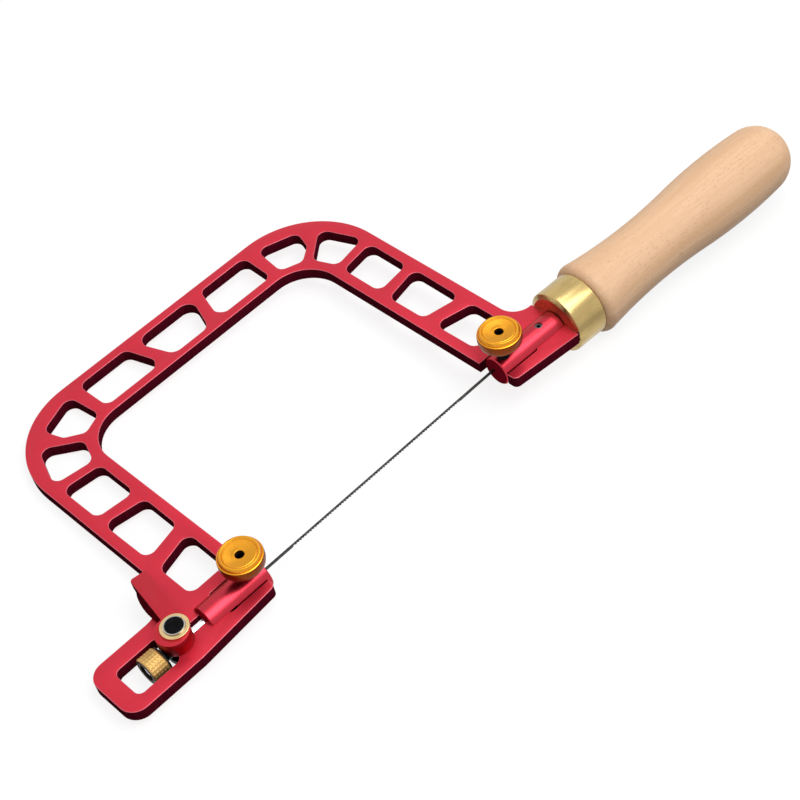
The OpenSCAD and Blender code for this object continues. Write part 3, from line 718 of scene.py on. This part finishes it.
class SAW_OT_knobs(Operator):
    """Turn the two gold thumb knobs, and cut the clamp screws and pads below them"""

    bl_idname = "fret_saw.knobs"
    bl_label = "Thumb Knobs and Clamp Screws"

    def knob(self, end, finishes, stem, screw_top, at):
        """Turn a dished knob on its screw, and return the height of its base."""
        hole, lead, floor_deep, hole_deep = 1.7, 0.2, 0.55, 0.72
        name = f"{end}_thumb_knob"
        centre, half = middle(name)
        big, base, tall = half.x / MM, (centre.z - half.z) / MM, 2 * half.z / MM
        rim = base + KNOB_RIM_SHARE * tall
        profile = [(stem, screw_top, 0), (stem, base, 0.2)]
        profile += [(big * r, base + tall * h, soft) for r, h, soft in KNOB_SHARES]
        profile += [(big * r, rim - deep, soft) for r, deep, soft in KNOB_DISH]
        profile += [(hole + lead, rim - floor_deep, 0.1), (hole, rim - hole_deep, 0.1), (hole, screw_top, 0)]
        bm, _ = turn_on_lathe(rounded(profile, steps=4))
        # Faces below the change take the side's darker gold, painted shade and reflection.
        for face in bm.faces:
            if face.calc_center_median().z / MM < base + KNOB_SHADE_SHARE * tall:
                face.material_index = 1
        settle(f"{end}_knob_turned", bm, finishes, f"{end}_screw", (name,), at=at)
        return base

    def screw(self, end, finishes, stem, low, high, base, at):
        """Cut a clamp screw: thread below the knob and a six-sided socket on top."""
        sizes = settings()[0]
        pitch, deep = sizes.thread_pitch / MM, sizes.thread_depth / MM
        point, bevel, clear, lead, socket_deep = 0.6, 0.25, 0.02, 0.12, 2.4
        thread_from, thread_stop, soft = 0.3, 0.2, 0.2
        socket = six_sided(SOCKET_SIZE)
        crest = stem - clear
        profile = [(0.0, low), (stem - point, low), (stem - deep, low + bevel)]
        profile += screw_rows(crest, low + thread_from, base - thread_stop, pitch, deep)
        profile += [(crest, base), (crest, high - soft), (stem - bevel, high)]
        profile += [([r + lead for r in socket], high), (socket, high - lead)]
        profile += [(socket, high - socket_deep), (0.0, high - socket_deep - soft)]
        bm, _ = turn_on_lathe(profile, closed=False)
        stands_for = (SCREWS[end],)
        settle(f"{end}_screw_threaded", bm, finishes, f"{end}_screw", stands_for, at=at)

    def execute(self, context):
        colours = settings()[1]
        gold = turned_metal("knob_gold", colours.knob, rough=0.30, line_deep=0.0008, worn=0.06, grooved=0.6)
        # Painted shade and reflection on the knobs' sides.
        side = turned_metal("knob_side_gold", colours.knob_side_shade, rough=0.34, line_deep=0.004, worn=0.12)
        black = dark_steel("screw_black", colours.black, rough=0.4, stretch=UPRIGHT_LINES)
        steel = turned_metal("pad_steel", colours.bright, rough=0.25)
        for end, screw in SCREWS.items():
            centre = middle(f"{end}_thumb_knob")[0]
            at = on_axis(centre.x, centre.y)
            low, high = (v.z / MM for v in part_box(screw))
            stem = middle(screw)[1].x / MM
            base = self.knob(end, (gold, side), stem, high, at)
            self.screw(end, (black,), stem, low, high, base, at)
            dress(f"{end}_pressure_pad", steel)
        return {"FINISHED"}


class SAW_OT_draw_gear(Operator):
    """Knurl the brass nut, thread the draw rod and turn the thrust washer"""

    bl_idname = "fret_saw.draw_gear"
    bl_label = "Draw Rod and Nut"

    def nut(self, sizes, colours):
        """Cut squares round the nut, and a hollow in its outer end whose inside is painted dark as shade."""
        bore, hollow_r, hollow_deep, lead = 1.95, 3.2, 1.4, 0.15
        land, bevel, soft, edge = 0.55, 0.3, 0.12, 0.05
        step = 4
        big, long, at = lying("tension_nut")
        turns, count = sizes.knurl_columns * step, sizes.knurl_rows * step
        profile = [
            (bore, hollow_deep), (hollow_r, hollow_deep), (hollow_r, soft), (hollow_r + soft, 0.0),
            (big - land, 0.0), (big - bevel, soft),
        ]
        hollow_strips = len(profile) - 1
        for k in range(count + 1):
            height = bevel + (long - 2 * bevel) * k / count
            worn = edge if k in (0, count) else 0.0
            ring = []
            for i in range(turns):
                cell = min(1.0, min(i % step, step - i % step), min(k % step, step - k % step))
                ring.append(big - sizes.knurl_depth / MM * (1.0 - cell) - worn)
            profile.append((ring, height))
        profile += [(big - bevel, long - soft), (big - land, long), (bore + lead, long), (bore, long - lead)]
        bm, strips = turn_on_lathe(profile, turns=turns)
        # The hollow and the bore take the dark finish painted as shade.
        paint(strips[:hollow_strips] + strips[-1:], 1)
        finishes = (
            turned_metal("nut_brass", colours.nut, rough=0.52, line_deep=0.004, worn=0.2),
            dark_steel("nut_hollow_shade", colours.nut_hollow_shade, rough=0.5, stretch=CROSS_LINES, metal=0.0),
        )
        settle("nut_knurled", bm, finishes, "adjuster", ("tension_nut",), at=at, sharp=25)

    def rod(self, colours):
        """Thread the rod where the nut runs, painted dark as shade, and leave its shank plain and bright."""
        clear, tail_len, tail_r = 0.01, 12.0, 1.49
        pitch, deep, thread_from, thread_end, run_out = 0.7, 0.25, 0.35, 10.0, 0.2
        point, bevel = 0.45, 0.3
        big, long, at = lying("draw_rod")
        big -= clear
        neck = long - tail_len
        profile = [(0.0, 0.0), (big - point, 0.0), (big - deep, bevel)]
        profile += screw_rows(big, thread_from, thread_end, pitch, deep)
        shank = [(big, thread_end + run_out), (big, neck - bevel), (big - deep, neck)]
        tail = [(tail_r, neck), (tail_r, long), (0.0, long)]
        bm, strips = turn_on_lathe(profile + shank + tail, closed=False)
        paint(strips[:1], 1)
        paint(strips[-len(tail) - 2:-len(tail)], 2)
        finishes = (
            # Painted shade on the thread.
            turned_metal("rod_steel", colours.rod, rough=0.3, line_deep=0.002, worn=0.1),
            turned_metal("rod_end_steel", colours.bright, rough=0.2, line_deep=0.002, worn=0.04),
            turned_metal("rod_shank_steel", colours.shank, rough=0.22, line_deep=0.002, worn=0.03),
        )
        settle("draw_rod_threaded", bm, finishes, "front_carriage", ("draw_rod",), at=at)

    def washer(self, colours):
        """Turn the plain washer between the nut and the lever, painted flat black as the shade there."""
        bore, inner_soft, outer_soft = 2.0, 0.1, 0.15
        big, long, at = lying("thrust_washer")
        bm, _ = turn_on_lathe(rounded([
            (bore, 0, inner_soft), (big, 0, outer_soft), (big, long, outer_soft), (bore, long, inner_soft),
        ], steps=3))
        # Painted shade: black without metal gloss, for the shade between the nut and the lever.
        black = dark_steel("washer_black", colours.black, rough=0.5, stretch=CROSS_LINES, metal=0.0)
        settle("thrust_washer_turned", bm, (black,), "cam_washer", ("thrust_washer",), at=at)

    def execute(self, context):
        sizes, colours, _ = settings()
        self.nut(sizes, colours)
        self.rod(colours)
        self.washer(colours)
        return {"FINISHED"}


class SAW_OT_bars(Operator):
    """Finish the two clamp bars and the set screw"""

    bl_idname = "fret_saw.bars"
    bl_label = "Clamp Bars"

    def execute(self, context):
        colours = settings()[1]
        for end, at in (("front", along_blade(0.0)), ("rear", along_grip())):
            axis = at.to_3x3() @ Vector((0, 0, 1))
            red = turned_red(f"{end}_bar_red", colours.bar, colours.bar_rim, colours.bar_end_shade, at=at, axis=axis)
            dress(f"{end}_clamp_bar", red)
        # Painted shade: the set screw is darkened to half the plain steel for the shade in its hole.
        grey = scaled(colours.grey, 0.5)[:3]
        dress("rear_set_screw", dark_steel("set_screw_steel", grey, rough=0.3, stretch=UPRIGHT_LINES))
        return {"FINISHED"}


class SAW_OT_blade(Operator):
    """Cut the blade's teeth and set them to alternate sides"""

    bl_idname = "fret_saw.blade"
    bl_label = "Blade"

    def execute(self, context):
        sizes, colours, _ = settings()
        lead, tip, bend_above = 0.6 * MM, 0.1 * MM, 0.12 * MM
        gullet_share, tip_share, back_share, thin_share = 0.38, 0.94, 0.97, 0.8
        pitch = sizes.tooth_pitch
        low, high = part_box("blade")
        half, thin = high.z, high.z * thin_share
        root = low.y + sizes.tooth_depth
        teeth = int(sizes.toothed_run / pitch)
        start = -teeth * pitch / 2
        line = [(low.x, low.y, 0.0), (start - lead, low.y, 0.0)]
        for i in range(teeth):
            x, lean = start + i * pitch, sizes.tooth_set * (1 if i % 2 else -1)
            line += [
                (x, root, 0.0), (x + gullet_share * pitch, root, 0.0),
                (x + tip_share * pitch, low.y, lean), (x + back_share * pitch, low.y + tip, lean),
            ]
        line += [(-start, root, 0.0), (-start + lead, low.y, 0.0), (high.x, low.y, 0.0)]
        bend = root + bend_above
        bm = bmesh.new()
        rings = []
        for x, y, lean in line:
            section = (
                (high.y, half), (bend, half), (y, thin + lean),
                (y, -thin + lean), (bend, -half), (high.y, -half),
            )
            rings.append([bm.verts.new((x, *p)) for p in section])
        for a, b in zip(rings, rings[1:]):
            for i in range(len(a)):
                j = (i + 1) % len(a)
                bm.faces.new((a[i], a[j], b[j], b[i]))
        bm.faces.new(rings[0])
        bm.faces.new(rings[-1])
        steel = dark_steel("blade_steel", colours.blade, rough=0.34, stretch=BLADE_LINES)
        settle("blade_toothed", bm, (steel,), "saw", ("blade",), sharp=20)
        return {"FINISHED"}


class SAW_OT_handle(Operator):
    """Turn the wooden handle and the brass ferrule"""

    bl_idname = "fret_saw.handle"
    bl_label = "Handle and Ferrule"

    def grip(self, sizes, colours):
        """Turn the handle: a hollow and a swelling of one radius, and a round end."""
        waist, bulb, cap, soft = (v / MM for v in (sizes.waist, sizes.bulb, sizes.cap, sizes.shoulder))
        wood_at, waist_at, bulb_at = 45.1, 80.0, 125.0
        shoulder_steps, side_steps, cap_steps = 10, 30, 24
        run, rise = bulb_at - waist_at, bulb - waist
        arc = (run * run + rise * rise) / (4.0 * rise)
        meet = (waist_at + bulb_at) / 2.0
        cap_at = bulb_at + math.sqrt((arc - cap) ** 2 - (arc - bulb) ** 2)
        cap_meet = bulb_at + (cap_at - bulb_at) * arc / (arc - cap)
        flare_at = wood_at + soft
        flare = waist + arc - math.sqrt(arc ** 2 - (waist_at - flare_at) ** 2)
        profile = [(0.0, wood_at)]
        for k in range(shoulder_steps + 1):
            angle = math.pi / 2 * k / shoulder_steps
            profile.append((flare - soft + soft * math.sin(angle), flare_at - soft * math.cos(angle)))
        for k in range(1, side_steps + 1):
            u = flare_at + (meet - flare_at) * k / side_steps
            profile.append((waist + arc - math.sqrt(arc ** 2 - (u - waist_at) ** 2), u))
        for k in range(1, side_steps + 1):
            u = meet + (cap_meet - meet) * k / side_steps
            profile.append((bulb - arc + math.sqrt(arc ** 2 - (u - bulb_at) ** 2), u))
        turn_from = math.asin((cap_meet - cap_at) / cap)
        for k in range(1, cap_steps + 1):
            angle = turn_from + (math.pi / 2 - turn_from) * k / cap_steps
            profile.append((cap * math.cos(angle) if k < cap_steps else 0.0, cap_at + cap * math.sin(angle)))
        bm, _ = turn_on_lathe(profile, closed=False, turns=GRIP_TURNS)
        wood = beech("handle_beech", colours.wood, colours.wood_shade, colours.wood_fleck, along_grip())
        settle(
            "handle_turned", bm, (wood,), "saw", ("handle",),
            at=along_grip(), sharp=60, baked=True,
        )

    def ferrule(self, colours):
        """Turn the ferrule with a drawn-in front and an open back."""
        big, start, end, core, wall, web = 12.9, 31.0, 45.0, 0.2, 1.1, 1
        nose_in, nose_run, shallow, taper_run = 1.9, 0.75, 0.1, 3
        bm, _ = turn_on_lathe(rounded([
            (core, start, 0), (big - nose_in, start, 0.3), (big - shallow, start + nose_run, 0.5),
            (big, start + taper_run, 0), (big, end, 0.35), (big - wall, end, 0.1), (big - wall, end - web, 0),
            (core, end - web, 0),
        ]), turns=GRIP_TURNS)
        brass = brushed_brass("ferrule_brass", colours.ferrule, along_grip())
        settle(
            "ferrule_turned", bm, (brass,), "saw", ("ferrule",),
            at=along_grip(), sharp=40, baked=True,
        )

    def execute(self, context):
        sizes, colours, _ = settings()
        self.grip(sizes, colours)
        self.ferrule(colours)
        return {"FINISHED"}


class SAW_OT_stage(Operator):
    """Lay the pale floor, hang the soft lights and set up the camera"""

    bl_idname = "fret_saw.stage"
    bl_label = "Stage"

    def seen(self, tree):
        """Light Path's level for rays that show the background."""
        path = add(tree, "ShaderNodeLightPath")
        both = add(tree, "ShaderNodeMath", {
            0: path.outputs["Is Camera Ray"], 1: path.outputs["Is Glossy Ray"],
        }, operation="MAXIMUM").outputs[0]
        return add(tree, "ShaderNodeMath", {
            0: both, 1: path.outputs["Is Transmission Ray"],
        }, operation="MAXIMUM").outputs[0]

    def floor(self, stage):
        """A wide floor that the saw lies on, white far away and open to soft shadows near the saw."""
        reach, shade = 3, 0.18
        near, far, near_glow, far_glow = 0.3, 0.9, 0.85, 1.0
        material = bpy.data.materials.new("pale_floor")
        material.use_nodes = True
        tree = material.node_tree
        tree.nodes.clear()
        matt = add(tree, "ShaderNodeBsdfDiffuse", {"Color": (shade, shade, shade, 1)})
        away = add(tree, "ShaderNodeVectorMath", {
            0: add(tree, "ShaderNodeTexCoord").outputs["Object"],
        }, operation="LENGTH").outputs["Value"]
        level = spread(tree, away, near_glow, far_glow, start=near, end=far)
        glow = add(tree, "ShaderNodeEmission", {"Color": (1, 1, 1, 1), "Strength": level})
        lit = add(tree, "ShaderNodeAddShader", {0: matt.outputs[0], 1: glow.outputs[0]})
        either = add(tree, "ShaderNodeMixShader", {0: self.seen(tree), 1: matt.outputs[0], 2: lit.outputs[0]})
        add(tree, "ShaderNodeOutputMaterial", {"Surface": either.outputs[0]})
        bm = bmesh.new()
        corners = []
        for x, y in ((-reach, -reach), (reach, -reach), (reach, reach), (-reach, reach)):
            rise = stage.floor_slope[0] * x + stage.floor_slope[1] * y
            corners.append(bm.verts.new((x, y, rise - stage.floor_height)))
        bm.faces.new(corners)
        mesh = bpy.data.meshes.new("floor")
        bm.to_mesh(mesh)
        bm.free()
        mesh.materials.append(material)
        floor = bpy.data.objects.new("floor", mesh)
        bpy.context.scene.collection.objects.link(floor)

    def soft_box(self, name, power, size, spot, aim):
        """A rectangular soft light."""
        data = bpy.data.lights.new(name, "AREA")
        data.shape, data.energy = "RECTANGLE", power
        data.size, data.size_y = size
        lamp = bpy.data.objects.new(name, data)
        lamp.location = spot
        lamp.rotation_euler = (Vector(aim) - Vector(spot)).to_track_quat("-Z", "Y").to_euler()
        bpy.context.scene.collection.objects.link(lamp)

    def execute(self, context):
        stage = settings()[2]
        scene = context.scene
        scene.view_settings.view_transform = "Standard"
        self.floor(stage)
        self.soft_box(
            "overhead_box", stage.key_level, size=(0.8, 0.8), spot=(0.25, -0.36, 1.0), aim=(0.04, 0.02, 0.0),
        )
        self.soft_box(
            "strip_box", stage.strip_level, size=(0.3, 0.2), spot=(0.45, 0.20, 0.95), aim=(0.02, 0.0, 0.0),
        )

        world = bpy.data.worlds.new("room")
        world.use_nodes = True
        tree = world.node_tree
        tree.nodes.clear()
        even = add(tree, "ShaderNodeBackground", {"Color": (1, 1, 1, 1), "Strength": stage.sky_level})
        white = add(tree, "ShaderNodeBackground", {"Color": (1, 1, 1, 1), "Strength": 1.0})
        either = add(tree, "ShaderNodeMixShader", {0: self.seen(tree), 1: even.outputs[0], 2: white.outputs[0]})
        add(tree, "ShaderNodeOutputWorld", {"Surface": either.outputs[0]})
        scene.world = world

        data = bpy.data.cameras.new("camera")
        data.sensor_width, data.lens = 36.0, stage.lens
        data.clip_start, data.clip_end = 0.01, 20.0
        camera = bpy.data.objects.new("camera", data)
        camera.location = stage.camera_place
        camera.rotation_euler = stage.camera_turn
        scene.collection.objects.link(camera)
        scene.camera = camera
        return {"FINISHED"}


STEPS = (
    SAW_OT_plate, SAW_OT_lever, SAW_OT_knobs, SAW_OT_draw_gear, SAW_OT_bars, SAW_OT_blade, SAW_OT_handle,
    SAW_OT_stage,
)


class SAW_PT_pieces(Panel):
    """Settings and steps of the fret saw"""

    bl_idname = "SAW_PT_pieces"
    bl_label = "Fret Saw"
    bl_space_type = "VIEW_3D"
    bl_region_type = "UI"
    bl_category = "Fret Saw"

    def draw(self, context):
        for step in STEPS:
            self.layout.operator(step.bl_idname)
        for group in settings():
            box = self.layout.box()
            for key in group.bl_rna.properties.keys():
                if key not in {"rna_type", "name"}:
                    box.prop(group, key)


CLASSES = (SawSizes, SawColours, SawStage, *STEPS, SAW_PT_pieces)


def register():
    for cls in CLASSES:
        bpy.utils.register_class(cls)
    bpy.types.Scene.saw_sizes = PointerProperty(type=SawSizes)
    bpy.types.Scene.saw_colours = PointerProperty(type=SawColours)
    bpy.types.Scene.saw_stage = PointerProperty(type=SawStage)


def unregister():
    del bpy.types.Scene.saw_stage
    del bpy.types.Scene.saw_colours
    del bpy.types.Scene.saw_sizes
    for cls in reversed(CLASSES):
        bpy.utils.unregister_class(cls)


def main():
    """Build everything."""
    register()
    bpy.ops.fret_saw.plate()
    bpy.ops.fret_saw.lever()
    bpy.ops.fret_saw.knobs()
    bpy.ops.fret_saw.draw_gear()
    bpy.ops.fret_saw.bars()
    bpy.ops.fret_saw.blade()
    bpy.ops.fret_saw.handle()
    bpy.ops.fret_saw.stage()


if __name__ == "__main__":
    main()
